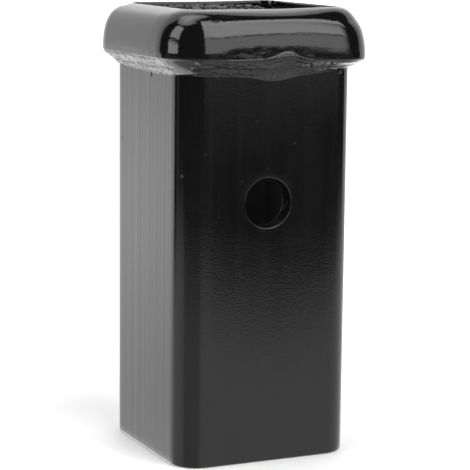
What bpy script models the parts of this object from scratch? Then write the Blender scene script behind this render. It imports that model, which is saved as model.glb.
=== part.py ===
"""Weld-on receiver tube: square tube with a cross pin hole, a rolled collar round its mouth and two welds.

Metres, +Z up. The origin is the middle of the tube's rear end, +Z runs towards the mouth, and the pin hole
runs along Y. Run it with blender --background --python part.py, or from Blender's text editor.
"""

import bmesh
import bpy
import numpy as np
from mathutils import Vector

# Tube
overall_length = 0.1524
tube_width = 0.0635
tube_wall = 0.00635
tube_corner_radius = 0.0095
bore_corner_radius = 0.0032
tube_end_rounding = 0.0004

# Cross hole for the hitch pin
pin_hole_diameter = 0.0167
pin_hole_to_mouth = 0.0641
pin_hole_off_middle = -0.0008
pin_hole_rounding = 0.0004

# Collar: a pressed ring, its skirt round the tube and its lip over the tube's end
collar_wall = 0.0055
collar_depth_left = 0.0165
collar_depth_right = 0.0177
collar_draft = 0.0009
crown_height = 0.0153
crown_flat = 0.0090
crown_fullness = 3.04
lip_setback = 0.00145
lip_rounding = 0.0011
skirt_edge_rounding = 0.0005

# Fillet bead behind the collar; shares are counted down its face from the collar to the tube
bead_leg_left = 0.0052
bead_leg_right = 0.0028
bead_crown = 0.0007
bead_crown_power = 0.6
bead_groove_depth = 0.00035
bead_groove_share = 0.55
bead_groove_width = 0.12
bead_ripple = 0.00022
bead_ripple_pitch = 0.0064
bead_ripple_curve = 2.4
bead_ripple_drift = 0.9

# Lobes of the fillet bead: compass angle round the tube, half angle of the lobe, extra length down the tube
bead_lobes = (
    (-88.0, 16.0, 0.0029),
    (-118.0, 22.0, 0.0006),
    (-137.0, 12.0, -0.0004),
    (-62.0, 12.0, 0.0007),
    (-45.0, 12.0, -0.0008),
    (135.0, 20.0, -0.0011),
    (72.0, 18.0, 0.0013),
    (104.0, 9.0, 0.0017),
    (18.0, 10.0, 0.0010),
    (-160.0, 14.0, 0.0004),
)

# Seam bead inside the mouth, in the step between the lip and the tube's end
seam_below_mouth = 0.0014
seam_ripple = 0.00012
seam_ripple_pitch = 0.0042
seam_ripple_drift = 1.3

# Gap left between pieces that touch
clearance = 0.0003

# Fineness of the facets
corner_steps = 10
crown_steps = 12
crown_step_bias = 0.8
rounding_steps = 3
hole_steps = 48
bead_step = 0.0016
bead_face_steps = 8
seam_step = 0.0026
smooth_under = 35.0
bevel_over = 60.0

# Sizes that follow from the ones above
tube_half = tube_width / 2
bore_half = tube_half - tube_wall
lip_underside = overall_length - collar_wall
tube_length = lip_underside - clearance
collar_outer = clearance + collar_wall
collar_half = tube_half + collar_outer
lip_edge = -tube_wall + lip_setback
pin_hole_height = overall_length - pin_hole_to_mouth


def collection(name):
    made = bpy.data.collections.new(name)
    bpy.context.scene.collection.children.link(made)
    return made


def clear_scene():
    for old in list(bpy.data.objects):
        bpy.data.objects.remove(old)


def coat_material(name, roughness):
    """Gloss black powder coat over steel."""
    made = bpy.data.materials.new(name)
    made.use_nodes = True
    shader = made.node_tree.nodes["Principled BSDF"]
    shader.inputs["Base Color"].default_value = (0.012, 0.012, 0.012, 1.0)
    shader.inputs["Roughness"].default_value = roughness
    shader.inputs["Metallic"].default_value = 0.0
    made.diffuse_color = (0.05, 0.05, 0.05, 1.0)
    return made


def add_piece(name, mesh, home, material=None):
    piece = bpy.data.objects.new(name, mesh)
    home.objects.link(piece)
    if material:
        piece.data.materials.append(material)
    return piece


def make_helper(piece):
    piece.hide_render = True
    piece.display_type = "WIRE"
    return piece


def round_square(half_width, radius, steps=corner_steps):
    """Points counter-clockwise round a square with rounded corners."""
    points = []
    for corner in range(4):
        start = corner * np.pi / 2
        diagonal = np.array((np.cos(start) - np.sin(start), np.sin(start) + np.cos(start)))
        centre = (half_width - radius) * diagonal
        for step in range(steps + 1):
            angle = start + step / steps * np.pi / 2
            points.append(centre + radius * np.array((np.cos(angle), np.sin(angle))))
    return points


def add_spline(curve, points):
    spline = curve.splines.new("POLY")
    spline.points.add(len(points) - 1)
    for control, point in zip(spline.points, points):
        control.co = (point[0], point[1], 0.0, 1.0)
    spline.use_cyclic_u = True


def closed_mesh_of(piece):
    """The evaluated curve as one closed mesh, in place of the curve object."""
    graph = bpy.context.evaluated_depsgraph_get()
    mesh = bpy.data.meshes.new_from_object(piece.evaluated_get(graph))
    mesh.transform(piece.matrix_world)
    welded = bmesh.new()
    welded.from_mesh(mesh)
    bmesh.ops.remove_doubles(welded, verts=welded.verts, dist=1e-6)
    bmesh.ops.recalc_face_normals(welded, faces=welded.faces)
    welded.to_mesh(mesh)
    welded.free()
    bpy.data.objects.remove(piece)
    return mesh


def shade(piece):
    piece.data.shade_smooth()
    piece.data.set_sharp_from_angle(angle=np.radians(smooth_under))


def add_bevel(piece, width, name):
    bevel = piece.modifiers.new(name, "BEVEL")
    bevel.width = width
    bevel.segments = 2
    bevel.limit_method = "ANGLE"
    bevel.angle_limit = np.radians(bevel_over)
    bevel.use_clamp_overlap = True


def add_cut(piece, cutter, name):
    cut = piece.modifiers.new(name, "BOOLEAN")
    cut.operation = "DIFFERENCE"
    cut.solver = "EXACT"
    cut.object = cutter


def make_receiver_tube(parts, cutters):
    """Square tube, its two ends lightly rounded, with the pin hole through its front and back walls."""
    outline = bpy.data.curves.new("receiver_tube_outline", "CURVE")
    outline.dimensions = "2D"
    outline.fill_mode = "BOTH"
    add_spline(outline, round_square(tube_half, tube_corner_radius))
    add_spline(outline, round_square(bore_half, bore_corner_radius))
    outline.extrude = tube_length / 2 - tube_end_rounding
    outline.bevel_depth = tube_end_rounding
    outline.bevel_resolution = 1
    outline.offset = -tube_end_rounding
    blank = add_piece("receiver_tube_blank", outline, parts)
    blank.location.z = tube_length / 2
    bpy.context.view_layer.update()
    tube = add_piece("receiver_tube", closed_mesh_of(blank), parts, coat_material("tube_coat", 0.12))

    drill = bmesh.new()
    bmesh.ops.create_cone(
        drill,
        cap_ends=True,
        segments=hole_steps,
        radius1=pin_hole_diameter / 2,
        radius2=pin_hole_diameter / 2,
        depth=tube_width * 1.5,
    )
    drill_mesh = bpy.data.meshes.new("pin_hole_drill")
    drill.to_mesh(drill_mesh)
    drill.free()
    cutter = make_helper(add_piece("pin_hole_drill", drill_mesh, cutters))
    cutter.rotation_euler.x = np.pi / 2
    cutter.location.x = pin_hole_off_middle
    cutter.location.z = pin_hole_height
    add_cut(tube, cutter, "pin hole")
    add_bevel(tube, pin_hole_rounding, "pin hole edges")
    shade(tube)
    return tube


def crown_curve():
    """Outer face of the collar as (offset from the tube's face, height), from the skirt up to the rim."""
    rim_start = lip_edge + lip_rounding
    crown_width = collar_outer - collar_draft - rim_start + crown_flat
    share_left = 1 - (collar_outer - collar_draft - rim_start) / crown_width
    last_angle = np.arccos(share_left ** (crown_fullness / 2))
    top_share = np.sin(last_angle) ** (2 / crown_fullness)
    base = overall_length - crown_height * top_share
    points = []
    for step in range(crown_steps + 1):
        angle = last_angle * (step / crown_steps) ** crown_step_bias
        rise = np.sin(angle) ** (2 / crown_fullness)
        reach = np.cos(angle) ** (2 / crown_fullness)
        offset = collar_outer - collar_draft * rise / top_share - crown_width * (1 - reach)
        points.append((offset, base + crown_height * rise))
    return points


def lip_curve():
    """The rounded inner edge of the lip, from the rim down into the mouth."""
    centre = (lip_edge + lip_rounding, overall_length - lip_rounding)
    angles = np.linspace(90, 180, rounding_steps + 1)[1:]
    return [
        (centre[0] + lip_rounding * np.cos(angle), centre[1] + lip_rounding * np.sin(angle))
        for angle in np.radians(angles)
    ]


def make_reinforcing_collar(parts, cutters):
    """The collar's section swept round the tube, then the skirt trimmed a little out of square."""
    skirt_end = overall_length - max(collar_depth_left, collar_depth_right) - collar_wall
    section = [(clearance, skirt_end), (collar_outer, skirt_end)]
    section += crown_curve() + lip_curve()
    section += [(lip_edge, lip_underside), (clearance, lip_underside)]

    profile = bpy.data.curves.new("collar_section", "CURVE")
    profile.dimensions = "2D"
    add_spline(profile, section)
    guide = make_helper(add_piece("collar_section", profile, cutters))

    path = bpy.data.curves.new("collar_path", "CURVE")
    path.dimensions = "3D"
    path.twist_mode = "Z_UP"
    add_spline(path, round_square(tube_half, tube_corner_radius))
    path.bevel_mode = "OBJECT"
    path.bevel_object = guide
    swept = add_piece("reinforcing_collar_blank", path, parts)
    bpy.context.view_layer.update()
    coat = coat_material("collar_coat", 0.10)
    collar = add_piece("reinforcing_collar", closed_mesh_of(swept), parts, coat)

    slope = np.arctan2(collar_depth_right - collar_depth_left, 2 * collar_half)
    middle = overall_length - (collar_depth_left + collar_depth_right) / 2
    block = bmesh.new()
    bmesh.ops.create_cube(block, size=1.0)
    bmesh.ops.scale(block, vec=Vector((3 * collar_half, 3 * collar_half, collar_half)), verts=block.verts)
    bmesh.ops.translate(block, vec=Vector((0, 0, -collar_half / 2)), verts=block.verts)
    block_mesh = bpy.data.meshes.new("skirt_trim")
    block.to_mesh(block_mesh)
    block.free()
    trim = make_helper(add_piece("skirt_trim", block_mesh, cutters))
    trim.location.z = middle
    trim.rotation_euler.y = slope
    add_cut(collar, trim, "trimmed skirt")
    add_bevel(collar, skirt_edge_rounding, "skirt edges")
    shade(collar)
    return collar


def skirt_end_height(x):
    """Height of the skirt's trimmed end at this x."""
    share = (x + collar_half) / (2 * collar_half)
    return overall_length - collar_depth_left - share * (collar_depth_right - collar_depth_left)


def round_the_tube(distance):
    """Point and outward normal on the tube's outline, a distance round from the middle of the +X face."""
    flat = tube_half - tube_corner_radius
    arc = tube_corner_radius * np.pi / 2
    quarter, along = divmod(distance, 2 * flat + arc)
    if along < flat:
        point, normal = (tube_half, along), (1.0, 0.0)
    elif along < flat + arc:
        angle = (along - flat) / tube_corner_radius
        normal = (np.cos(angle), np.sin(angle))
        point = (flat + tube_corner_radius * normal[0], flat + tube_corner_radius * normal[1])
    else:
        point, normal = (2 * flat + arc - along, tube_half), (0.0, 1.0)
    turn = quarter * np.pi / 2
    spin = np.array(((np.cos(turn), -np.sin(turn)), (np.sin(turn), np.cos(turn))))
    return spin @ point, spin @ normal


def outline_length():
    return 8 * (tube_half - tube_corner_radius) + 2 * np.pi * tube_corner_radius


def stations_round(step):
    """Evenly spaced (distance, point, normal) round the tube."""
    count = round(outline_length() / step)
    for distance in np.arange(count) * outline_length() / count:
        yield distance, *round_the_tube(distance)


def loft_ring(name, sections):
    """One closed ring through equal sections, each a closed loop of points."""
    ring = bmesh.new()
    loops = [[ring.verts.new(point) for point in section] for section in sections]
    for loop, following in zip(loops, loops[1:] + loops[:1]):
        for index, corner in enumerate(loop):
            after = (index + 1) % len(loop)
            ring.faces.new((corner, loop[after], following[after], following[index]))
    bmesh.ops.recalc_face_normals(ring, faces=ring.faces)
    mesh = bpy.data.meshes.new(name)
    ring.to_mesh(mesh)
    ring.free()
    return mesh


def whole_ripples(pitch):
    """Ripples for each unit of distance, so that a whole number of them goes round."""
    return 2 * np.pi * round(outline_length() / pitch) / outline_length()


def bead_leg(point):
    """How far down the tube the fillet bead reaches from the skirt's end."""
    angle = np.degrees(np.arctan2(point[1], point[0]))
    share = (point[0] / tube_half + 1) / 2
    leg = bead_leg_left + share * (bead_leg_right - bead_leg_left)
    for place, half_angle, extra in bead_lobes:
        apart = (angle - place + 180) % 360 - 180
        leg += extra * np.exp(-((apart / half_angle) ** 2))
    return leg


def fillet_section(distance, point, normal):
    """The bead's section at one place: up the tube, along the skirt's end, and down its rippled face."""
    top = skirt_end_height(point[0] + normal[0] * collar_outer) - clearance
    width = collar_outer - skirt_edge_rounding - clearance
    leg = bead_leg(point) - clearance
    wave = whole_ripples(bead_ripple_pitch)
    drift = bead_ripple_drift * np.sin(3 * wave / 7 * distance)
    slant = np.array((leg, -width)) / np.hypot(leg, width)
    flat_section = [(0.0, top - leg), (0.0, top), (width, top)]
    for share in np.arange(1, bead_face_steps) / bead_face_steps:
        phase = wave * distance + bead_ripple_curve * (share - 0.4) ** 2 + drift
        bulge = bead_crown * np.sin(np.pi * share) ** bead_crown_power
        from_groove = (share - bead_groove_share) / bead_groove_width
        bulge -= bead_groove_depth * np.exp(-(from_groove**2))
        bulge += bead_ripple * np.sin(phase) * min(1.0, 4 * share, 4 * (1 - share))
        offset = width * (1 - share) + bulge * slant[0]
        height = top - leg * share + bulge * slant[1]
        flat_section.append((max(offset, 0.0), min(height, top)))
    return [(*(point + normal * (clearance + offset)), height) for offset, height in flat_section]


def make_collar_fillet_weld(parts):
    sections = [fillet_section(*station) for station in stations_round(bead_step)]
    bead = add_piece("collar_fillet_weld", loft_ring("collar_fillet_weld", sections), parts)
    bead.data.materials.append(coat_material("weld_coat", 0.18))
    shade(bead)
    return bead


def seam_section(distance, point, normal):
    """The seam bead's section: seated on the tube's end, against the lip, with a lumpy face to the bore."""
    wave = whole_ripples(seam_ripple_pitch)
    back = lip_edge - clearance
    front = -tube_wall + seam_ripple
    foot = tube_length + clearance
    top = overall_length - seam_below_mouth
    lump = seam_ripple * np.sin(wave * distance + seam_ripple_drift * np.sin(3 * wave / 5 * distance))
    middle = (foot + top) / 2
    flat_section = (
        (back, foot),
        (back, top + lump),
        (front + (back - front) * 0.35, top - lump),
        (front + lump, middle + (top - middle) * 0.4),
        (front - lump * 0.5, middle - (middle - foot) * 0.5),
        (front, foot),
    )
    return [(*(point + normal * offset), height) for offset, height in flat_section]


def make_mouth_seam_weld(parts):
    sections = [seam_section(*station) for station in stations_round(seam_step)]
    bead = add_piece("mouth_seam_weld", loft_ring("mouth_seam_weld", sections), parts)
    bead.data.materials.append(coat_material("seam_coat", 0.30))
    shade(bead)
    return bead


def main():
    clear_scene()
    parts = collection("weld_on_receiver_tube")
    cutters = collection("cutters")
    make_receiver_tube(parts, cutters)
    make_reinforcing_collar(parts, cutters)
    make_collar_fillet_weld(parts)
    make_mouth_seam_weld(parts)


main()
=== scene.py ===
"""Weld-on receiver tube, dressed: gloss black coat, rolled collar, ropy weld, on a pale floor in soft light.

Laid out as an add-on and run as a script. Metres, +Z up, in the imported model's frame: the tube stands on
its rear end at the origin with its mouth up, and the pin hole runs along Y.
"""

import math

import bmesh
import bpy
import numpy as np
from bpy.props import FloatProperty, FloatVectorProperty, IntProperty, PointerProperty
from bpy.types import Operator, Panel, PropertyGroup
from mathutils import Matrix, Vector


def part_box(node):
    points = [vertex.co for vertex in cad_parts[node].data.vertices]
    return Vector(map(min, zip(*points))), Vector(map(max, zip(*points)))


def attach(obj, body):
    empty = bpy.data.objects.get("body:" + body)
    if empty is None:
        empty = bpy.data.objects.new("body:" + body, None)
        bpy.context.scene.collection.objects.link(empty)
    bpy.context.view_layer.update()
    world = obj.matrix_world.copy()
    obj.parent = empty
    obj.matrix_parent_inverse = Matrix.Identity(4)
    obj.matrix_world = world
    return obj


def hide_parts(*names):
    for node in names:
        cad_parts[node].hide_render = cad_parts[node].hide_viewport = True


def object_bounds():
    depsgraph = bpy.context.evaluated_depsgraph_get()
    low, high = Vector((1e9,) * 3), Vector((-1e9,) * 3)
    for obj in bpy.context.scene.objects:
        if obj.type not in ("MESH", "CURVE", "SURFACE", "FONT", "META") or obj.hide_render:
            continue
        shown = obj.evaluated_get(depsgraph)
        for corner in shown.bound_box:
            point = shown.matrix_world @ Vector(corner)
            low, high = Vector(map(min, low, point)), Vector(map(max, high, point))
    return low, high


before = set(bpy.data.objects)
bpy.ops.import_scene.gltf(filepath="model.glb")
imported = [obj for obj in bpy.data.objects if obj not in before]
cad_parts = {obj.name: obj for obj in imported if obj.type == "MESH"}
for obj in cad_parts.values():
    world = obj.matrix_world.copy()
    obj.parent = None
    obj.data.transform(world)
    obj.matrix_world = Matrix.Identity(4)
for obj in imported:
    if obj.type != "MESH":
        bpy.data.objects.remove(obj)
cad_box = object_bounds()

bl_info = {
    "name": "Weld-on receiver tube",
    "version": (1, 0, 0),
    "blender": (4, 5, 0),
    "location": "3D View > Sidebar > Receiver",
    "description": "Builds a coated receiver tube with a welded collar, and the stage it stands on",
    "category": "Object",
}

tube_low, tube_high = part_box("receiver_tube")
floor_height = cad_box[0][2]
rim_height = cad_box[1][2]

# How far a size may be dragged in the panel
LONGEST = 1
DEGREES = 180 / math.pi


# Settings that a user would change


def length(label, words, default, least=0):
    """A size in metres, shown with its unit."""
    return FloatProperty(name=label, description=words, default=default, min=least, max=LONGEST,
                         precision=5, subtype="DISTANCE", unit="LENGTH")


def share(label, words, default, most=1):
    """A plain number from nothing up to the most."""
    return FloatProperty(name=label, description=words, default=default, min=0, max=most, precision=3)


def turn(label, words, degrees):
    return FloatProperty(name=label, description=words, default=math.radians(degrees),
                         subtype="ANGLE", unit="ROTATION")


def paint(label, words, default):
    return FloatVectorProperty(name=label, description=words, default=default, subtype="COLOR",
                               size=3, min=0, max=1)


class TubeSizes(PropertyGroup):
    width: length("Width", "Outside width", tube_high.x - tube_low.x)
    height: length("Height", "Length up to the collar's lip", tube_high.z)
    wall: length("Wall", "Thickness", 0.00635)
    corner_radius: length("Corner Radius", "Outside radius", 0.0095)
    end_rounding: length("End Rounding", "Rounding of the cut ends", 0.0008)
    hole_diameter: length("Pin Hole", "Diameter", 0.0167)
    hole_height: length("Pin Hole Height", "Height of its centre", 0.0883)
    hole_off_middle: length("Pin Hole Off Middle", "How far it is drilled to +X", -0.0008, -LONGEST)
    hole_rounding: length("Pin Hole Edge", "Rounding of its edge", 0.0003)
    hole_dish: length("Pin Hole Dish", "How far the face sinks to it", 0.00006)


class CollarSizes(PropertyGroup):
    wall: length("Wall", "Thickness", 0.0055)
    gap: length("Gap", "Space to the tube", 0.0003)
    depth_left: length("Depth Left", "Depth on the -X side", 0.0165)
    depth_right: length("Depth Right", "Depth on the +X side", 0.0177)
    draft: length("Draft", "How far the face leans in", 0.0009)
    crown_height: length("Crown Height", "Height of the rolled edge", 0.0153)
    crown_flat: length("Crown Flat", "How far its curve runs on past the rim", 0.009)
    crown_fullness: share("Crown Fullness", "2 is an ellipse and more is squarer", 3.04, 6)
    lip_setback: length("Lip Setback", "How far it stands back from the bore", 0.00145)
    lip_rounding: length("Lip Rounding", "Rounding of its inner edge", 0.0017)
    edge_rounding: length("Rear Edge Rounding", "Rounding of the rear edge", 0.0007)
    shoulder_drop: length("Shoulder Drop", "Near shoulder, 20 mm off its middle", 0.00068)
    shoulder_slope: share("Shoulder Slope", "How steeply it climbs to +X", 0.0145)
    rim_drop: length("Rim Drop", "How much lower it is at -X", 0.00045)
    rear_pull: length("Rear Pull", "How far the weld drew it in", 0.00027)
    pull_reach: length("Pull Reach", "How far that reaches", 0.0064)
    wave_depth: length("Weld Distortion", "Depth of the waves left by heat", 0.00012)
    wave_length: length("Distortion Length", "Length of its waves", 0.009)


class WeldSizes(PropertyGroup):
    leg_left: length("Leg Left", "Length down the tube at -X", 0.0052)
    leg_right: length("Leg Right", "Length down the tube at +X", 0.0028)
    crown: length("Crown", "Swell of the bead's face", 0.0007)
    groove: length("Groove", "Depth between the two passes", 0.00035)
    rope: length("Rope", "Height of the bead's slow lumps", 0.0003)
    ripple: length("Ripple", "Height of the torch's ripples", 0.00009)
    flow: length("Flow Lines", "Height of the melt's streaks", 0.00055)
    toe_lip: length("Toe Lip", "Height of the lower edge's lip", 0.00016)
    pitch: length("Ripple Pitch", "Distance between ripples", 0.0021)
    seam_below_mouth: length("Seam Depth", "Start of the inside seam below the rim", 0.0011)
    seam_lump: length("Seam Lump", "Height of the inside seam's lumps", 0.00048)
    seed: IntProperty(name="Seed", description="Picks another run of lumps", default=4, min=0)


class CoatLook(PropertyGroup):
    colour: paint("Colour", "Colour of the coat", (0.0036, 0.0036, 0.0037))
    roughness: share("Roughness", "Roughness of the smooth coat", 0.075)
    weld_roughness: share("Weld Roughness", "Roughness of the coat on the bead", 0.12)
    seam_roughness: share("Seam Roughness", "Roughness of the thin coat inside the mouth", 0.26)
    peel_size: length("Orange Peel Size", "Distance between the coat's slow waves", 0.0042)
    peel_depth: length("Orange Peel Depth", "Height of the coat's slow waves", 0.0000045)
    line_depth: length("Draw Line Depth", "Height of the drawn tube's lines", 0.00008)
    nib_size: length("Nib Size", "Diameter of a common speck", 0.00028)
    nib_density: share("Nibs", "Specks for each square metre", 900, 10000)


class StudioLook(PropertyGroup):
    floor: paint("Floor", "Colour of the floor", (0.93, 0.93, 0.93))
    backdrop: share("Backdrop", "Brightness of the paper behind", 1.45, 20)
    softbox: share("Softbox", "Brightness of the front softbox", 5.4, 20)
    window: share("Window", "Brightness of the window on the left", 4.8, 20)
    overhead: share("Overhead", "Brightness of the lamp overhead", 5.5, 20)
    sheet: share("Sheet", "Brightness of the sheet below", 1.2, 20)
    azimuth: turn("Azimuth", "Camera, counter-clockwise from -Y", -24.88)
    elevation: turn("Elevation", "How high the camera stands", 9.29)
    roll: turn("Roll", "Tilt of the picture", 0.59)
    distance: length("Distance", "Camera to its aim", 0.6527)
    aim_across: length("Aim Across", "Aim, to the right of the tube's axis", 0.00176, -LONGEST)
    aim_height: length("Aim Height", "Height of the camera's aim", 0.07274)
    lens: share("Lens", "Focal length in millimetres", 144.07, 1000)


def chosen(settings, *names):
    return {name: getattr(settings, name) for name in names}


# Node trees

# Kinds of socket: by the value that an input is made for, and by the field that an output gives
INPUT_KINDS = {float: "Float", int: "Int", tuple: "Vector", bpy.types.Object: "Object",
               bpy.types.Material: "Material"}
OUTPUT_KINDS = {"VALUE": "Float", "GEOMETRY": "Geometry"}


def titled(name):
    return name.replace("_", " ").title()


def arithmetic(operation):
    """Both methods for a sign."""
    def on_left(self, other):
        return self.plan.math(operation, self, other)

    def on_right(self, other):
        return self.plan.math(operation, other, self)

    return on_left, on_right


class Field:
    """A socket on its way through a node tree; arithmetic on it adds Math nodes."""

    __add__, __radd__ = arithmetic("ADD")
    __sub__, __rsub__ = arithmetic("SUBTRACT")
    __mul__, __rmul__ = arithmetic("MULTIPLY")
    __truediv__, __rtruediv__ = arithmetic("DIVIDE")
    __pow__, __rpow__ = arithmetic("POWER")

    def __init__(self, plan, socket):
        self.plan = plan
        self.socket = socket

    def __abs__(self):
        return self.plan.math("ABSOLUTE", self)

    def other(self, name):
        """Another output of the same node."""
        return Field(self.plan, self.socket.node.outputs[name])


class NodePlan:
    """Lays out one node tree, such as a shader group, a material or a geometry tree."""

    def __init__(self, tree):
        self.tree = tree

    def feed(self, socket, value):
        if isinstance(value, Field):
            self.tree.links.new(value.socket, socket)
        else:
            socket.default_value = value

    def add(self, kind, inputs=(), output=0, **settings):
        node = self.tree.nodes.new(kind)
        for name, value in settings.items():
            setattr(node, name, value)
        for key, value in dict(inputs).items():
            self.feed(node.inputs[key], value)
        return Field(self, node.outputs[output])

    def inputs(self, **named):
        """The fields of new inputs, each of the kind of its value."""
        for name, value in named.items():
            kind = next(INPUT_KINDS[sort] for sort in INPUT_KINDS if isinstance(value, sort))
            made = self.tree.interface.new_socket(titled(name), socket_type="NodeSocket" + kind)
            if isinstance(value, float):
                made.default_value = value
        node = self.tree.nodes.new("NodeGroupInput")
        return [Field(self, node.outputs[titled(name)]) for name in named]

    def finish(self, **outputs):
        """Names the group's outputs and ends the tree in them."""
        node = self.tree.nodes.new("NodeGroupOutput")
        for name, value in outputs.items():
            kind = "NodeSocket" + OUTPUT_KINDS[value.socket.type]
            self.tree.interface.new_socket(titled(name), in_out="OUTPUT", socket_type=kind)
            self.feed(node.inputs[titled(name)], value)

    def group(self, lay_out, **inputs):
        """A shader group that a function lays out, made once and then shared."""
        name = titled(lay_out.__name__)
        if name not in bpy.data.node_groups:
            lay_out(NodePlan(bpy.data.node_groups.new(name, "ShaderNodeTree")))
        named = {titled(key): value for key, value in inputs.items()}
        return self.add("ShaderNodeGroup", named, node_tree=bpy.data.node_groups[name])

    def math(self, operation, *values):
        return self.add("ShaderNodeMath", dict(enumerate(values)), operation=operation)

    def most(self, value, least):
        return self.math("MAXIMUM", value, least)

    def rise(self, value, low, high):
        """0 at the low edge, 1 at the high edge, and smooth between them."""
        inputs = {"Value": value, "From Min": low, "From Max": high}
        return self.add("ShaderNodeMapRange", inputs, interpolation_type="SMOOTHSTEP")

    def bell(self, value, middle, width):
        """1 at the middle, falling off over the width to either side."""
        apart = (value - middle) / width
        return self.math("EXPONENT", apart * apart * -1)

    def noise(self, vector, scale, detail=2, roughness=0.5, seed=None):
        """Noise from -0.5 to 0.5, with this many waves for each unit."""
        inputs = {"Vector": vector, "Scale": scale, "Detail": detail, "Roughness": roughness}
        if seed is not None:
            inputs["W"] = seed
        return self.add("ShaderNodeTexNoise", inputs, noise_dimensions="3D" if seed is None else "4D") - 0.5

    def split(self, vector):
        x = self.add("ShaderNodeSeparateXYZ", {0: vector})
        return x, x.other("Y"), x.other("Z")

    def vector(self, x, y, z):
        return self.add("ShaderNodeCombineXYZ", {"X": x, "Y": y, "Z": z})

    def vector_math(self, operation, *values, output="Vector"):
        return self.add("ShaderNodeVectorMath", dict(enumerate(values)), output, operation=operation)

    def scaled(self, vector, factor):
        return self.add("ShaderNodeVectorMath", {"Vector": vector, "Scale": factor}, operation="SCALE")

    def mix(self, factor, first, second):
        return self.add("ShaderNodeMix", {0: factor, 6: first, 7: second}, 2, data_type="RGBA")


# Shader groups shared by the finishes


def orange_peel(plan):
    """The slow waves that powder keeps when it melts and flows."""
    place, size, depth = plan.inputs(vector=(0, 0, 0), size=0.004, depth=0.000005)
    waves = plan.noise(place, 1 / size, detail=1)
    swell = plan.noise(place, 0.22 / size, detail=1)
    grain = plan.noise(plan.vector_math("MULTIPLY", place, (1, 1, 1.8)), 3.8 / size)
    plan.finish(height=(waves + swell * 3 + grain * 2.4) * depth,
                mottle=plan.rise(swell + grain * 0.5, -0.3, 0.3))


def draw_lines(plan):
    """Lines along Z that drawing leaves in tube, which the coat shows on the left and right faces."""
    place, depth = plan.inputs(vector=(0, 0, 0), depth=0.000003)
    x, y, z = plan.split(place)
    across = plan.vector(x, y, z * 0.012)
    side = plan.rise(abs(x), 0.0306, 0.0316)
    fine = plan.noise(across, 900, detail=3, roughness=0.6)
    broad = plan.noise(across, 210)
    plan.finish(height=(fine * 0.45 + broad * 1.6) * (0.06 + side) * depth,
                streak=plan.rise(fine + broad, -0.35, 0.35))


def coat_specks(plan):
    """Fine dust caught in the coat: a few tiny raised specks, each with its own size."""
    place, spacing, size = plan.inputs(vector=(0, 0, 0), spacing=0.004, size=0.0002)
    cells = plan.add("ShaderNodeTexVoronoi", {"Vector": place, "Scale": 1 / spacing}, "Distance")
    pick = plan.add("ShaderNodeSeparateColor", {0: cells.other("Color")})
    reach = size / spacing * (0.5 + pick.other("Green"))
    mask = plan.rise(cells, reach, reach * 0.35) * plan.math("GREATER_THAN", pick, 0.72)
    plan.finish(mask=mask, height=mask * size * 0.12)


def coat_material(name, roughness, peel_depth, line_depth=0, grain_depth=0, grain_size=0.001, bore=0):
    """Gloss black powder coat; nearer to the axis than the bore it is only a thin and dull one."""
    look = bpy.context.scene.receiver_coat
    made = bpy.data.materials.new(name)
    made.use_nodes = True
    made.diffuse_color = (0.05, 0.05, 0.05, 1)
    plan = NodePlan(made.node_tree)
    place = plan.add("ShaderNodeTexCoord", output="Object")

    def toned(times):
        return (*(times * channel for channel in look.colour), 1)

    height = plan.group(orange_peel, vector=place, size=look.peel_size, depth=peel_depth)
    mottle = height.other("Mottle")
    specks = plan.group(coat_specks, vector=place, spacing=0.0045, size=0.00018)
    height += specks.other("Height")
    rough = (mottle - 0.5) * 0.03 + specks * 0.12 + roughness
    tone = mottle * 0.3 + specks * 1.6
    if line_depth:
        lines = plan.group(draw_lines, vector=place, depth=line_depth)
        height += lines
        rough += (lines.other("Streak") - 0.5) * 0.02
        tone += lines.other("Streak") * 0.35
    if grain_depth:
        grain = plan.noise(place, 1 / grain_size, detail=4, roughness=0.6)
        height += grain * grain_depth
        rough += grain * 0.16
        tone += (grain + 0.5) * 0.6
    colour = plan.mix(tone, toned(0.75), toned(1.9))
    if bore:
        x, y, _ = plan.split(place)
        inside = plan.rise(plan.most(abs(x), abs(y)), bore, bore - 0.0005)
        colour = plan.mix(inside, colour, toned(21))
        rough += inside * 0.3
    shader = made.node_tree.nodes["Principled BSDF"]
    bump = plan.add("ShaderNodeBump", {"Height": height, "Distance": 1, "Strength": 1})
    for name, value in (("Base Color", colour), ("Roughness", rough), ("Normal", bump)):
        plan.feed(shader.inputs[name], value)
    return made


# Outlines and meshes


def tube_outline(half, radius, stops, corner_steps):
    """Points and outward normals counter-clockwise round the tube from the left end of its front face.

    Each side passes through the same stops, given as distances from its middle.
    """
    rows = [(stop, -half, 0, -1) for stop in stops]
    for step in range(1, corner_steps):
        angle = step / corner_steps * math.pi / 2
        out, back = math.sin(angle), -math.cos(angle)
        rows.append((half - radius + radius * out, radius - half + radius * back, out, back))
    rows = np.array(rows)
    sides = []
    for turned in np.arange(4) * math.pi / 2:
        cos, sin = math.cos(turned), math.sin(turned)
        sides.append(rows.reshape(-1, 2, 2) @ np.array(((cos, sin), (-sin, cos))))
    return np.concatenate(sides).swapaxes(0, 1)


def new_piece(name, mesh, material=None):
    piece = bpy.data.objects.new(name, mesh)
    bpy.context.scene.collection.objects.link(piece)
    if material:
        mesh.materials.append(material)
    return piece


def closed_shell(mesh, merge=1e-6):
    """Merges what touches, turns every face outward and shades the mesh smooth."""
    shell = bmesh.new()
    shell.from_mesh(mesh)
    bmesh.ops.remove_doubles(shell, verts=shell.verts, dist=merge)
    bmesh.ops.recalc_face_normals(shell, faces=shell.faces)
    shell.to_mesh(mesh)
    shell.free()
    mesh.shade_smooth()
    return mesh


def hand_over(piece, node):
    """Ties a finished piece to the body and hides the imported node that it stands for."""
    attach(piece, "root")
    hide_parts(node)


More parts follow.
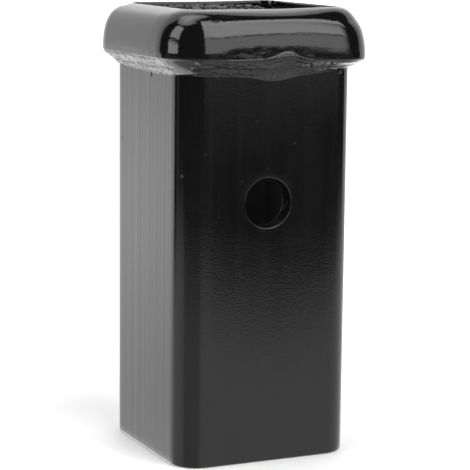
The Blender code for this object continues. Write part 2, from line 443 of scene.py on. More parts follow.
class RECEIVER_OT_tube(Operator):
    """Square tube with its pin hole, the face sinking a little towards the hole's rounded edge"""

    bl_idname = "receiver.tube"
    bl_label = "Build Tube"

    corner_steps = 20
    margin_steps = 4
    patch_steps = 24
    patch_half = 0.015
    ring_steps = 12
    rounding_steps = 5
    bore_steps = 6
    row_step = 0.0022
    bore_coat_reach = 0.0008
    nibs_end = 0.128
    nib_seed = 11

    # Larger specks and drops on the left and front faces and in the hole: place and width in millimetres
    nib_marks = (
        (-31.7, 21, 105.7, 0.65), (-31.7, 4.4, 120.3, 0.45), (-31.7, -3.6, 121, 0.35),
        (-31.7, -21.2, 91, 0.45), (-31.7, -5, 63.2, 0.5), (-31.7, -5.2, 130.4, 0.55),
        (-31.7, -5.3, 129.9, 0.7), (-31.7, -5.3, 129.4, 0.7), (-31.7, -5.4, 128.9, 0.55),
        (-30, -27.7, 98, 1.1), (-24, -31.5, 122.9, 0.6), (-23.9, -31.5, 104.7, 0.4),
        (-10.3, -31.7, 95.9, 0.65), (8.6, -31.7, 107.7, 0.7), (12.6, -31.7, 112.9, 0.65),
        (5.5, -31.7, 66.6, 0.7), (6.7, -31.7, 63.8, 0.7), (17.9, -31.7, 68.8, 0.7),
        (0.9, -31.7, 54.4, 0.65), (-18.9, -31.7, 22.3, 0.9), (25.1, -31.1, 131.1, 1.7),
        (7.5, -29.7, 88.3, 0.6), (7.5, -29.3, 87.7, 0.7), (7.4, -28.9, 87.1, 0.8),
        (7.3, -28.5, 86.6, 0.8), (7.2, -28.1, 86, 0.8), (7, -27.8, 85.4, 0.7),
        (6.8, -27.6, 84.9, 0.6),
    )

    def execute(self, context):
        sizes = context.scene.receiver_tube
        look = context.scene.receiver_coat
        self.mesh = bmesh.new()
        self.make_walls(sizes)
        for side in (0, 2):
            self.make_hole(sizes, side)
        mesh = bpy.data.meshes.new("coated_tube")
        self.mesh.to_mesh(mesh)
        self.mesh.free()
        material = coat_material("Gloss Coat on Drawn Tube", look.roughness, look.peel_depth,
                                 line_depth=look.line_depth,
                                 bore=sizes.width / 2 - sizes.wall + self.bore_coat_reach)
        piece = new_piece("coated_tube", closed_shell(mesh), material)
        self.add_nibs(piece, look, material)
        hand_over(piece, "receiver_tube")
        return {"FINISHED"}

    def add_nibs(self, piece, look, material):
        rows = (np.array(self.nib_marks) / 1000).tolist()
        mesh = bpy.data.meshes.new("nib_marks")
        mesh.from_pydata([row[:3] for row in rows], (), ())
        mesh.attributes.new("width", "FLOAT", "POINT").data.foreach_set("value", [row[3] for row in rows])
        marks = new_piece("nib_marks", mesh)
        nibs = grown("nibs", coat_nibs, surface=piece, marks=marks, density=look.nib_density,
                     size=look.nib_size, highest=self.nibs_end, seed=self.nib_seed, material=material)
        whole = bmesh.new()
        whole.from_mesh(piece.data)
        whole.from_mesh(nibs)
        whole.to_mesh(piece.data)
        whole.free()
        piece.data.shade_smooth()
        bpy.data.objects.remove(marks)

    def make_walls(self, sizes):
        """Outer and inner walls and both ends as one grid, with square openings where the hole goes."""
        half = sizes.width / 2
        bore_half = half - sizes.wall
        flat = half - sizes.corner_radius
        patch = np.linspace(-self.patch_half, self.patch_half, self.patch_steps + 1)
        margin = np.linspace(self.patch_half, flat, self.margin_steps + 1)[1:]
        stops = np.concatenate((-margin[::-1], patch, margin))
        outer, outward = tube_outline(half, sizes.corner_radius, stops, self.corner_steps)
        inner, _ = tube_outline(bore_half, bore_half - flat, stops, self.corner_steps)

        rounding = sizes.end_rounding
        low, high = sizes.hole_height - self.patch_half, sizes.hole_height + self.patch_half
        below = np.linspace(rounding, low, round(low / self.row_step))[:-1]
        above = np.linspace(high, sizes.height - rounding, round((sizes.height - high) / self.row_step))[1:]
        rows = np.concatenate((below, sizes.hole_height + patch, above))
        angles = np.radians(np.linspace(0, 90, self.rounding_steps + 1))[1:]
        inset = rounding * (1 - np.cos(angles))
        drop = rounding * (1 - np.sin(angles))
        bottom = list(zip(inset, drop))
        top = list(zip(inset, sizes.height - drop))
        rings = [(outer, z) for z in rows]
        rings += [(outer - turn_in * outward, z) for turn_in, z in top]
        rings += [(inner + turn_in * outward, z) for turn_in, z in reversed(top)]
        first_inner = len(rings)
        rings += [(inner, z) for z in rows[::-1]]
        rings += [(inner + turn_in * outward, z) for turn_in, z in bottom]
        rings += [(outer - turn_in * outward, z) for turn_in, z in reversed(bottom)]

        grid = [[self.mesh.verts.new((*point, z)) for point in ring] for ring, z in rings]
        self.walls = grid[:len(rows)], grid[first_inner:first_inner + len(rows)][::-1]
        self.first_patch_row = len(below)
        for ring, following in zip(grid, grid[1:] + grid[:1]):
            at_hole = low < (ring[0].co.z + following[0].co.z) / 2 < high
            for station in range(len(outer)):
                side, along = divmod(station, len(outer) // 4)
                in_width = 0 <= along - self.margin_steps < self.patch_steps
                if side % 2 or not (at_hole and in_width):
                    self.join(ring, following, station)

    def join(self, near, far, index):
        """One face between two rings of vertices, from this index to the next."""
        after = (index + 1) % len(near)
        self.mesh.faces.new((near[index], near[after], far[after], far[index]))

    def opening(self, wall, side):
        """The edge of a wall's opening, once round from its lower left corner."""
        last = self.patch_steps
        steps = range(last)
        walk = [(step, 0) for step in steps] + [(last, step) for step in steps]
        walk += [(last - step, last) for step in steps] + [(0, last - step) for step in steps]
        first = side * len(wall[0]) // 4 + self.margin_steps
        return [wall[self.first_patch_row + up][first + across] for across, up in walk]

    def make_hole(self, sizes, side):
        """Rings from the opening's edge to the hole on both walls, the rounded edges and the hole's wall."""
        facing = -1 if side == 0 else 1
        radius, rounding = sizes.hole_diameter / 2, sizes.hole_rounding
        edge, back_edge = (self.opening(wall, side) for wall in self.walls)
        square = np.array([(vert.co.x, vert.co.z) for vert in edge])
        square -= (sizes.hole_off_middle, sizes.hole_height)
        rays = square / np.linalg.norm(square, axis=1)[:, None]
        outer_face = facing * sizes.width / 2
        inner_face = facing * (sizes.width / 2 - sizes.wall)

        def ring(places, depth):
            return [self.mesh.verts.new((sizes.hole_off_middle + x, y, sizes.hole_height + z))
                    for (x, z), y in zip(places, np.broadcast_to(depth, len(places)))]

        def dished_rings(face, dish):
            """Rings from the square opening to the hole's circle, sinking towards it."""
            hole = radius + rounding
            rings = []
            for along in np.arange(1, self.ring_steps + 1) / self.ring_steps:
                near_circle = 1 - (1 - along) ** 2
                blend = along ** 0.5
                reach = self.patch_half + (hole - self.patch_half) * near_circle
                straight = square * (1 - near_circle) + rays * hole * near_circle
                places = straight * (1 - blend) + rays * reach * blend
                away = (np.linalg.norm(places, axis=1) - hole) / (self.patch_half - hole)
                rings.append(ring(places, face + dish * np.maximum(0, 1 - away) ** 3))
            return rings

        angles = np.radians(np.linspace(0, 90, self.rounding_steps + 1))
        widened = radius + rounding * (1 - np.sin(angles))
        sunk = rounding * (1 - np.cos(angles))
        start = outer_face - facing * (sizes.hole_dish + rounding)
        stop = inner_face + facing * rounding
        profile = [*zip(widened[1:], outer_face - facing * (sunk[1:] + sizes.hole_dish)),
                   *((radius, y) for y in np.linspace(start, stop, self.bore_steps + 1)[1:-1]),
                   *zip(widened[::-1], (inner_face + facing * sunk)[::-1])]
        loops = [edge] + dished_rings(outer_face, -facing * sizes.hole_dish)
        loops += [ring(rays * reach, y) for reach, y in profile]
        loops += dished_rings(inner_face, 0)[::-1][1:] + [back_edge]
        for near, far in zip(loops, loops[1:]):
            for index in range(len(near)):
                self.join(near, far, index)


# Sweeps round the tube


def round_outline(sizes, corner_steps=60):
    """The tube's outer outline as a closed curve, counter-clockwise from the middle of its front face."""
    flat = sizes.width / 2 - sizes.corner_radius
    points, _ = tube_outline(sizes.width / 2, sizes.corner_radius, (-flat, 0, flat), corner_steps)
    return flat_curve("tube_outline", np.roll(points, -1, axis=0))


def flat_curve(name, points):
    """A closed curve through points on the XY plane."""
    curve = bpy.data.curves.new(name, "CURVE")
    curve.dimensions = "3D"
    spline = curve.splines.new("POLY")
    spline.points.add(len(points) - 1)
    for control, point in zip(spline.points, points):
        control.co = (*point, 0, 1)
    spline.use_cyclic_u = True
    return new_piece(name, curve)


def captured(plan, geometry, **fields):
    """Keeps fields on a curve's points, so that the mesh swept from it still knows them."""
    kept = plan.add("GeometryNodeCaptureAttribute", {"Geometry": geometry})
    node = kept.socket.node
    for name, field in fields.items():
        node.capture_items.new("VECTOR" if field.socket.type == "VECTOR" else "FLOAT", name)
        plan.feed(node.inputs[name], field)
    return kept, *(kept.other(name) for name in fields)


class Sweep:
    """A section swept round the tube's outline in a geometry tree; each point knows its place on both."""

    def __init__(self, plan, outline, section, step):
        self.plan = plan
        path = plan.add("GeometryNodeObjectInfo", {"Object": outline}, "Geometry")
        path = plan.add("GeometryNodeResampleCurve", {"Curve": path, "Length": step}, mode="LENGTH")
        ahead_x, ahead_y, _ = plan.split(plan.add("GeometryNodeInputTangent"))
        place = plan.add("GeometryNodeInputPosition")
        path, self.foot, self.outward, self.distance = captured(
            plan, path, foot=place, outward=plan.vector(ahead_y, ahead_x * -1, 0),
            distance=plan.add("GeometryNodeSplineParameter", output="Length"))
        profile = plan.add("GeometryNodeObjectInfo", {"Object": section}, "Geometry")
        profile, on_section = captured(plan, profile, section=place)
        self.mesh = plan.add("GeometryNodeCurveToMesh", {"Curve": path, "Profile Curve": profile})
        self.x, self.y, _ = plan.split(self.foot)
        self.angle = plan.math("ARCTAN2", self.y, self.x) * DEGREES
        self.along, self.across, _ = plan.split(on_section)

    def point(self, offset, height):
        """The place at this offset from the tube's face and this height."""
        out = self.plan.scaled(self.outward, offset)
        return self.plan.vector_math("ADD", self.plan.vector_math("ADD", self.foot, out),
                                     self.plan.vector(0, 0, height))

    def skirt_end(self, reach, tube_half, rear_left, rear_right):
        """Height of the collar's rear edge, which is trimmed a little out of square."""
        x, _, _ = self.plan.split(self.point(reach, 0))
        part = x / (tube_half + reach) * 0.5 + 0.5
        return rear_left + part * (rear_right - rear_left)

    def bells(self, places):
        """Bells added up round the tube, each with its compass angle, half angle and height."""
        total = 0
        for middle, half_angle, height in places:
            apart = self.plan.math("WRAP", self.angle - middle, 180, -180)
            total = self.plan.bell(apart, 0, half_angle) * height + total
        return total


def grown(name, lay_out, **values):
    """The plain mesh of a geometry tree that a function lays out, with each value as a named input."""
    tree = bpy.data.node_groups.new(titled(name), "GeometryNodeTree")
    plan = NodePlan(tree)
    fields = dict(zip(values, plan.inputs(**values)))
    material = fields.pop("material")
    real = plan.add("GeometryNodeRealizeInstances", {"Geometry": lay_out(plan, **fields)})
    plan.finish(mesh=plan.add("GeometryNodeSetMaterial", {"Geometry": real, "Material": material}))
    carrier = new_piece(name + "_plan", bpy.data.meshes.new(name + "_plan"))
    modifier = carrier.modifiers.new("shape", "NODES")
    modifier.node_group = tree
    for key, value in values.items():
        modifier[tree.interface.items_tree[titled(key)].identifier] = value
    graph = bpy.context.evaluated_depsgraph_get()
    mesh = bpy.data.meshes.new_from_object(carrier.evaluated_get(graph))
    bpy.data.objects.remove(carrier)
    if not mesh.polygons:
        raise RuntimeError(f"{tree.name} made no faces")
    mesh.name = name
    return mesh


def coat_nibs(plan, surface, marks, density, size, highest, seed):
    """Specks under the coat: small balls sunk into a surface, scattered over it and at marked places."""
    place = plan.add("GeometryNodeInputPosition")
    level = plan.vector_math("MULTIPLY", place, (1, 1, 0))
    outward = plan.vector_math("DOT_PRODUCT", plan.add("GeometryNodeInputNormal"), level, output="Value")
    bare = plan.math("GREATER_THAN", outward, 0.02) * plan.math("LESS_THAN", plan.split(place)[2], highest)
    skin = plan.add("GeometryNodeObjectInfo", {"Object": surface}, "Geometry")
    scattered = plan.add("GeometryNodeDistributePointsOnFaces",
                         {"Mesh": skin, "Selection": bare, "Density": density, "Seed": seed})
    sunk = plan.add("GeometryNodeSetPosition", {
        "Geometry": scattered, "Offset": plan.scaled(scattered.other("Normal"), size * -0.25)})
    ball = plan.add("GeometryNodeMeshIcoSphere", {"Radius": 0.5, "Subdivisions": 2})
    chance = plan.add("FunctionNodeRandomValue", {2: 0.6, 3: 1.5, 8: seed}, 1)
    marked = plan.add("GeometryNodeObjectInfo", {"Object": marks}, "Geometry")
    width = plan.add("GeometryNodeInputNamedAttribute", {"Name": "width"}, data_type="FLOAT")
    both = plan.add("GeometryNodeJoinGeometry")
    for points, scale in ((sunk, size * chance), (marked, width)):
        balls = plan.add("GeometryNodeInstanceOnPoints", {"Points": points, "Instance": ball, "Scale": scale})
        plan.feed(both.socket.node.inputs["Geometry"], balls)
    return both


def swept_piece(name, shape, section, material, step=0.0005, **sizes):
    """A closed piece swept round the tube; its shape gives each point's offset from the face and height."""
    def lay_out(plan, outline, section, step, **fields):
        sweep = Sweep(plan, outline, section, step)
        place = sweep.point(*shape(plan, sweep, **fields))
        return plan.add("GeometryNodeSetPosition", {"Geometry": sweep.mesh, "Position": place})

    outline = round_outline(bpy.context.scene.receiver_tube)
    guide = flat_curve(name + "_section", section)
    mesh = grown(name, lay_out, outline=outline, section=guide, step=step, material=material, **sizes)
    for helper in (outline, guide):
        bpy.data.objects.remove(helper)
    return new_piece(name, closed_shell(mesh))


def skirt_sizes(scene):
    """Where the collar's rear edge lies."""
    collar = scene.receiver_collar
    return {"reach": collar.gap + collar.wall, "tube_half": scene.receiver_tube.width / 2,
            "rear_left": rim_height - collar.depth_left, "rear_right": rim_height - collar.depth_right}


# Where the weld drew the skirt in: compass angle round the tube, half angle, and share of the full pull
PULLS = ((-88, 27, 1.4), (-112, 10, 0.6), (-8, 30, 0.7), (70, 40, 0.9), (172, 30, 0.6))


def collar_section(collar, outer, lip, rear, rounding_steps=12, crown_steps=400, spacing=0.00032):
    """The collar's section as (offset from the tube's face, height), counter-clockwise."""
    def arc(start, end, centre_x, centre_z, radius):
        steps = round((end - start) / 90 * rounding_steps)
        return [(centre_x + radius * math.cos(angle), centre_z + radius * math.sin(angle))
                for angle in np.radians(np.linspace(start, end, steps + 1))]

    power = 2 / collar.crown_fullness
    rim_start = lip + collar.lip_rounding
    face_width = outer - collar.draft - rim_start
    width = face_width + collar.crown_flat
    last = math.acos((1 - face_width / width) ** (1 / power))
    top = math.sin(last) ** power
    crown_start = rim_height - collar.crown_height * top
    rounding = collar.edge_rounding
    points = [(collar.gap, rear + rounding)]
    points += arc(180, 270, collar.gap + rounding, rear + rounding, rounding)[:-1]
    points += arc(270, 360, outer - rounding, rear + rounding, rounding)
    points += [(outer, height) for height in np.linspace(rear + 2 * rounding, crown_start, 7)[:-1]]
    for angle in last * np.linspace(0, 1, crown_steps + 1) ** 0.8:
        rise = math.sin(angle) ** power
        reach = max(0, math.cos(angle)) ** power
        points.append((outer - collar.draft * rise / top - width * (1 - reach),
                       crown_start + collar.crown_height * rise))
    points += arc(90, 180, rim_start, rim_height - collar.lip_rounding, collar.lip_rounding)[1:]
    underside = rim_height - collar.wall

    # The outside is spaced evenly, and the underside of the lip closes the line
    x, z = np.array(points).T
    along = np.concatenate(([0], np.cumsum(np.hypot(np.diff(x), np.diff(z)))))
    places = np.linspace(0, along[-1], round(along[-1] / spacing) + 1)
    even = zip(np.interp(places, along, x), np.interp(places, along, z))
    return [*even, (lip, underside), (collar.gap, underside)]


def collar_shape(plan, sweep, reach, tube_half, rear_left, rear_right, section_rear, lip, rim,
                 shoulder_drop, shoulder_slope, rim_drop, rear_pull, pull_reach, wave_depth,
                 wave_length):
    x, y = sweep.x, sweep.y
    rear = sweep.skirt_end(reach, tube_half, rear_left, rear_right)
    above = sweep.across - section_rear
    height = sweep.across + (rear - section_rear) * (1 - plan.rise(above, 0, 0.006))

    # The near shoulder and the rim are a little uneven
    farthest = 0.02 + plan.rise(x, 0, 0.01) * 0.007
    off_middle = plan.math("MINIMUM", abs(x), farthest) / 0.02
    below_rim = rim - sweep.across
    near_side = plan.rise(y, -0.016, -0.03)
    shoulder = plan.rise(above, 0.0027, 0.008) * plan.rise(below_rim, 0.0004, 0.0036) * near_side
    drop = off_middle ** 3 * shoulder_drop - x * shoulder_slope
    lower = (rim_drop - y * 0.003) * plan.rise(x, 0.027, 0) - (y + tube_half) * 0.0015
    height = height - drop * shoulder - lower * plan.rise(below_rim, 0.0036, 0.0004)

    # The weld drew the rear edge in and left waves above it
    on_skin = plan.rise(sweep.along, reach * 0.5, reach * 0.8)
    place = sweep.point(reach, height)
    waves = plan.noise(place, 1 / wave_length)
    ragged = plan.noise(place, 2.6 / wave_length, detail=4, roughness=0.6)
    press = plan.noise(place, 0.7 / wave_length, detail=1)
    drawn_in = sweep.bells(PULLS) * (1 + waves * 2 + ragged * 2.4) * rear_pull
    near_rear = 1 - plan.rise(above, 0.0005, pull_reach)
    torn = (1 - plan.rise(above, 0.003, 0.007)) * 1.6
    bent = (waves * wave_depth * 2 - drawn_in) * near_rear + ragged * wave_depth * torn
    offset = sweep.along + (bent + press * wave_depth * 0.4) * on_skin

    # The lip's inner edge is sharper on the right and far sides
    on_lip = plan.rise(sweep.along, lip + 0.005, lip + 0.002)
    right_lip = plan.rise(x, 0.02, 0.026) * on_lip * plan.rise(y, -0.028, -0.018)
    far_lip = plan.rise(y, 0.02, 0.026) * on_lip
    return offset - (sweep.along - lip) * plan.most(right_lip, far_lip) * 0.93, height


class RECEIVER_OT_collar(Operator):
    """Rolled collar, its rear edge pulled slightly wavy by the heat of the weld"""

    bl_idname = "receiver.collar"
    bl_label = "Build Collar"

    def execute(self, context):
        scene = context.scene
        look = scene.receiver_coat
        collar = scene.receiver_collar
        skirt = skirt_sizes(scene)
        rear = (skirt["rear_left"] + skirt["rear_right"]) / 2
        lip = collar.lip_setback - scene.receiver_tube.wall
        material = coat_material("Gloss Coat on Collar", look.roughness, look.peel_depth * 2.2)
        piece = swept_piece(
            "rolled_collar", collar_shape, collar_section(collar, skirt["reach"], lip, rear), material,
            section_rear=rear, lip=lip, rim=rim_height, **skirt,
            **chosen(collar, "shoulder_drop", "shoulder_slope", "rim_drop", "rear_pull", "pull_reach",
                     "wave_depth", "wave_length"))
        hand_over(piece, "reinforcing_collar")
        return {"FINISHED"}


def bead_section(face_steps):
    """A bead's section as (part of the way down its face, 0 on the face or 1 on its back)."""
    return [(part, 0) for part in np.linspace(0, 1, face_steps + 1)] + [(1, 1), (0.5, 1), (0, 1)]


# Compass angle round the tube, half angle, and extra length of the bead down the tube
LOBES = (
    (-88, 16, 0.0029), (-118, 22, 0.0006), (-137, 12, -0.0004), (-62, 12, 0.0007), (-45, 12, -0.0008),
    (135, 20, -0.0011), (72, 18, 0.0013), (104, 9, 0.0017), (18, 10, 0.001), (-160, 14, 0.0004),
)

# The same for where the bead ran smooth, as a share of its roughness taken away
CALM = ((-136, 9, 0.95), (-90, 24, 0.5), (-50, 14, 0.6))

# The same for how far the bead climbs the collar's outside
LAPS = (
    (-137, 8, 0.0013), (-92, 15, 0.0004), (-84, 9, 0.0027), (-62, 5, 0.001), (-42, 5, 0.0004),
    (80, 12, 0.0009), (20, 9, 0.0008),
)

# The same for how far its upper edge stands off the collar there
FLAPS = ((-84, 9, 0.0009), (75, 10, 0.0004))

# How steeply the two sets of creases slant
SLOPES = (-150, 90)


def fillet_shape(plan, sweep, reach, tube_half, rear_left, rear_right, leg_left, leg_right,
                 crown, groove, rope, ripple, pitch, flow, toe_lip, seed):
    part, x = sweep.along, sweep.x
    rear = sweep.skirt_end(reach, tube_half, rear_left, rear_right)
    calm = 1 - sweep.bells(CALM)
    ragged = plan.noise(plan.vector(sweep.distance, seed, 0), 650, detail=3, roughness=0.7)
    leg = leg_left + (x / tube_half * 0.5 + 0.5) * (leg_right - leg_left)
    leg = leg + sweep.bells(LOBES) + ragged * 0.0018 * calm
    slow = plan.noise(sweep.point(0, rear), 120, seed=seed)
    lap = sweep.bells(LAPS) + plan.most(slow, 0) * 0.0012 + 0.0007
    climbs = plan.rise(lap, 0.0002, 0.0006)

    # A flat face from the collar's outside down to the tube
    start_offset = reach - 0.0007 + climbs * 0.0005
    flat_offset = start_offset * (1 - part) - 0.00015
    run = leg + lap
    flat_height = rear + lap - run * part
    place = sweep.point(flat_offset, flat_height)

    # What stands up from it
    inside = part * (1 - part)
    drift = plan.noise(place, 160, seed=seed + 7)
    cut = plan.bell(part, 0.55 + drift * 0.35, 0.07) * groove
    lumps = plan.noise(place, 260, seed=seed + 3)
    weave = sweep.distance / pitch * (2 * math.pi) + (part - 0.4) * (part - 0.4) * 9 + drift * 14
    flap = plan.bell(part, 0.14, 0.12) * (climbs * 0.00028 + sweep.bells(FLAPS))
    window = plan.rise(inside, 0, 0.09)
    far_side = plan.rise(x, -0.022, -0.03)
    stretched = plan.vector(sweep.distance * 380 + part * 1.5, part * 9, seed)
    streaks = plan.noise(stretched, 1)
    creased = creases(plan, stretched, 1.7)
    net = plan.most(*(
        creases(plan, plan.vector(sweep.distance * 90, part * 11 + sweep.distance * slope, seed + slope), 1)
        for slope in SLOPES))
    rough = lumps * 2 * rope + plan.math("SINE", weave) * ripple
    rough += (streaks + creased * 0.3 + net * far_side * 1.8) * flow
    lip = plan.bell(part, 0.94, 0.035) * toe_lip * (1 + far_side)
    bulge = plan.math("POWER", inside * 4, 0.45) * crown + rough * window * calm
    bulge += (flap + lip - cut) * plan.rise(calm, 0.1, 0.4)

    slant = plan.math("SQRT", run * run + start_offset * start_offset)
    front = 1 - sweep.across
    offset = (flat_offset + bulge * (run / slant)) * front - sweep.across * 0.0012
    return offset, flat_height - bulge * (start_offset / slant) * front


def creases(plan, vector, scale):
    """Sharp valleys between rounded folds."""
    return abs(plan.noise(vector, scale, detail=3, roughness=0.6)) * -2


class RECEIVER_OT_fillet_weld(Operator):
    """Ropy fillet bead behind the collar, laid in two passes"""

    bl_idname = "receiver.fillet_weld"
    bl_label = "Lay Fillet Weld"

    def execute(self, context):
        scene = context.scene
        look = scene.receiver_coat
        material = coat_material("Gloss Coat on Weld", look.weld_roughness, look.peel_depth,
                                 grain_depth=0.000012, grain_size=0.0007)
        piece = swept_piece(
            "fillet_bead", fillet_shape, bead_section(face_steps=44), material, step=0.0004,
            **skirt_sizes(scene), **chosen(scene.receiver_weld, "leg_left", "leg_right", "crown", "groove",
                                           "rope", "ripple", "pitch", "flow", "toe_lip", "seed"))
        hand_over(piece, "collar_fillet_weld")
        return {"FINISHED"}


def seam_shape(plan, sweep, back, front, top, foot, lump, seed):
    part = sweep.along
    flat_offset = back + (front - back) * plan.rise(part, 0, 0.5)
    sagging = plan.rise(sweep.x, 0.018, 0.028) * (1 - part) * 0.0012
    flat_height = top + (foot - top) * part - sagging
    place = sweep.point(flat_offset, flat_height)
    coarse = plan.noise(place, 420, detail=1, seed=seed)
    fine = plan.noise(place, 1300, detail=3, seed=seed + 5)
    rough = (coarse * 2 + fine * 2.2) * lump
    window = plan.rise(part * (1 - part), -0.01, 0.08)
    shown = 1 - sweep.across
    offset = (flat_offset + (rough - lump * 0.3) * window) * shown + (back + 0.0006) * sweep.across
    return offset, flat_height + rough * 3 * (1 - part) * shown


class RECEIVER_OT_seam_weld(Operator):
    """Lumpy seam inside the mouth, between the collar's lip and the tube's end"""

    bl_idname = "receiver.seam_weld"
    bl_label = "Lay Seam Weld"

    def execute(self, context):
        scene = context.scene
        weld = scene.receiver_weld
        tube = scene.receiver_tube
        material = coat_material("Thin Coat on Seam", scene.receiver_coat.seam_roughness,
                                 scene.receiver_coat.peel_depth, grain_depth=0.00005, grain_size=0.0009)
        piece = swept_piece(
            "seam_bead", seam_shape, bead_section(face_steps=18), material,
            back=scene.receiver_collar.lip_setback - tube.wall + 0.0002, front=-tube.wall,
            top=rim_height - weld.seam_below_mouth, foot=tube.height - tube.end_rounding,
            lump=weld.seam_lump, seed=weld.seed)
        hand_over(piece, "mouth_seam_weld")
        return {"FINISHED"}


# The stage


def make_floor(look, size=8):
    bpy.ops.mesh.primitive_plane_add(size=size, location=(0, 0, floor_height))
    floor = bpy.context.object
    floor.name = "floor"
    floor.visible_glossy = False
    paper = bpy.data.materials.new("Pale Floor")
    paper.use_nodes = True
    shader = paper.node_tree.nodes["Principled BSDF"]
    shader.inputs["Base Color"].default_value = (*look.floor, 1)
    shader.inputs["Roughness"].default_value = 0.9
    floor.data.materials.append(paper)


def make_surroundings(look):
    """The studio as the coat mirrors it: bright paper behind, softboxes in front, a dark room between."""
    world = bpy.data.worlds.new("Studio")
    bpy.context.scene.world = world
    world.use_nodes = True
    plan = NodePlan(world.node_tree)
    x, y, z = plan.split(plan.add("ShaderNodeTexCoord", output="Generated"))
    height = plan.math("ARCSINE", z) * DEGREES
    side = plan.math("ARCTAN2", x * -1, y * -1) * DEGREES

    def between(value, low, high, soft):
        return plan.rise(value, low - soft, low + soft) * (1 - plan.rise(value, high - soft, high + soft))

    def screen(facing, across, up):
        """A flat screen one unit away: its panels are lit where a direction meets them."""
        depth = plan.most(facing, 0.001)
        column, row = across / depth, up / depth
        return lambda sides, heights, soft: between(column, *sides, soft) * between(row, *heights, soft)

    # A softbox of two bands in front, and a window of two panes on the left
    front = screen(y * -1, x * -1, z)
    left = screen(x * -1, y, z)
    ahead = plan.most(y * -1, 0.001)
    fading = plan.most(plan.rise(x / ahead, 1.7, 0.6), plan.rise(z / ahead, 1.4, 2.1))
    softbox = front((-2.4, 0.12), (0.487, 4.2), 0.015)
    softbox += front((-2.4, 0.12), (-0.01, 0.44), 0.015) * 0.55
    panes = left((-0.25, 0.25), (0.375, 1.25), 0.02) + left((-0.25, 0.25), (-0.01, 0.275), 0.02)
    light = softbox * fading * look.softbox + panes * look.window

    # A lamp overhead, drawn out to a tip
    ceiling = plan.most(z, 0.001)
    from_tip = x / ceiling + 0.28
    past_tip = plan.most(from_tip, 0)
    lamp_across = from_tip / (0.4 + plan.rise(from_tip, -0.1, 0.1) * 0.24)
    lamp_along = (y / ceiling - 0.14 + past_tip * 0.1) / plan.most(0.33 - past_tip * 0.28, 0.05)
    from_lamp = plan.math("SQRT", lamp_across * lamp_across + lamp_along * lamp_along)
    overhead = plan.rise(from_lamp, 1.08, 0.92) * (0.45 + plan.rise(from_lamp, 1, 0) * 0.55)
    light += overhead * plan.rise(z, 0, 0.1) * look.overhead

    # Paper behind, seen past the tube on both sides
    up = plan.rise(height, -3.5, 0)
    behind_left = plan.rise(side - (128 + up * 6), -3, 3)
    right_below = plan.rise(side, -95, -101) * 0.72
    right_above = plan.rise(side, -55, -130)
    behind_right = right_below + (right_above - right_below) * up
    behind = (behind_left + behind_right) * plan.rise(y - z * 0.33, -0.03, 0.05)
    light += behind * (look.backdrop + plan.rise(height, -14, -26) * 2.3)
    low_glow = plan.bell(height, -8, 4.5)
    light += low_glow * behind_left * (0.55 + plan.bell(side, 133, 8) * 0.7)
    away = plan.most(y, 0.001)
    light += plan.bell(x / away, 0.45, 0.35) * plan.bell(z / away, 0.95, 0.6) * 1.9

    # The sheet below, partly shaded, and the glow where it meets the dark room
    nearer = plan.bell(side, 95, 24) + plan.bell(side, -88, 24)
    arch = plan.bell(side, -25.9, 1.7)
    below = plan.rise(height - nearer * 1.7 + arch, -8.3, -12.7)
    shaded = between(side, 8, 76, 8)
    light += below * (1 - shaded * 0.42) * (1 - behind) * look.sheet
    light += plan.bell(height, -3, 2) * between(side, -60, -5, 12) * 0.57
    light += plan.bell(side, -22.2, 0.9) * plan.bell(height, -6.6, 2.2) * 0.2
    light += plan.bell(side, 110, 4) * plan.rise(height, -2, -4) * 0.4 * (1 - below)

    room = plan.add("ShaderNodeBackground", {"Strength": light + 0.05})
    white = plan.add("ShaderNodeBackground")
    seen = plan.add("ShaderNodeLightPath", output="Is Camera Ray")
    mixed = plan.add("ShaderNodeMixShader", {0: seen, 1: room, 2: white})
    plan.feed(world.node_tree.nodes["World Output"].inputs["Surface"], mixed)


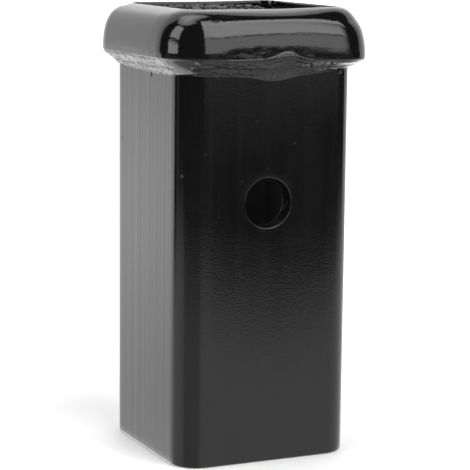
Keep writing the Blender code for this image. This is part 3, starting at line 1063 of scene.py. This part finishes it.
def place_camera(look):
    data = bpy.data.cameras.new("camera")
    data.lens = look.lens
    data.sensor_width = 36
    data.clip_start = 0.01
    camera = new_piece("camera", data)
    turned, moved = Matrix.Rotation, Matrix.Translation
    camera.matrix_world = (
        turned(look.azimuth, 4, "Z") @ moved((look.aim_across, 0, look.aim_height))
        @ turned(math.pi / 2 - look.elevation, 4, "X") @ turned(look.roll, 4, "Z")
        @ moved((0, 0, look.distance)))
    bpy.context.scene.camera = camera


class RECEIVER_OT_stage(Operator):
    """Pale floor, studio surroundings and the camera"""

    bl_idname = "receiver.stage"
    bl_label = "Set Stage"

    def execute(self, context):
        look = context.scene.receiver_studio
        make_floor(look)
        make_surroundings(look)
        place_camera(look)
        view = context.scene.view_settings
        view.view_transform, view.look = "Standard", "None"
        return {"FINISHED"}


class RECEIVER_PT_panel(Panel):
    """Lists the pieces of the receiver tube and its stage"""

    bl_label = "Receiver Tube"
    bl_idname = "RECEIVER_PT_panel"
    bl_space_type = "VIEW_3D"
    bl_region_type = "UI"
    bl_category = "Receiver"

    def draw(self, context):
        for group in SETTINGS:
            settings = getattr(context.scene, group)
            box = self.layout.box()
            for name in settings.__annotations__:
                box.prop(settings, name)
        for operator in OPERATORS:
            self.layout.operator(operator.bl_idname)


SETTINGS = {"receiver_tube": TubeSizes, "receiver_collar": CollarSizes, "receiver_weld": WeldSizes,
            "receiver_coat": CoatLook, "receiver_studio": StudioLook}
OPERATORS = (RECEIVER_OT_tube, RECEIVER_OT_collar, RECEIVER_OT_fillet_weld, RECEIVER_OT_seam_weld,
             RECEIVER_OT_stage)
CLASSES = (*SETTINGS.values(), *OPERATORS, RECEIVER_PT_panel)


def register():
    for made in CLASSES:
        bpy.utils.register_class(made)
    for name, settings in SETTINGS.items():
        setattr(bpy.types.Scene, name, PointerProperty(type=settings))


def unregister():
    for name in SETTINGS:
        delattr(bpy.types.Scene, name)
    for made in reversed(CLASSES):
        bpy.utils.unregister_class(made)


def main():
    register()
    for operator in OPERATORS:
        category, name = operator.bl_idname.split(".")
        getattr(getattr(bpy.ops, category), name)()


if __name__ == "__main__":
    main()
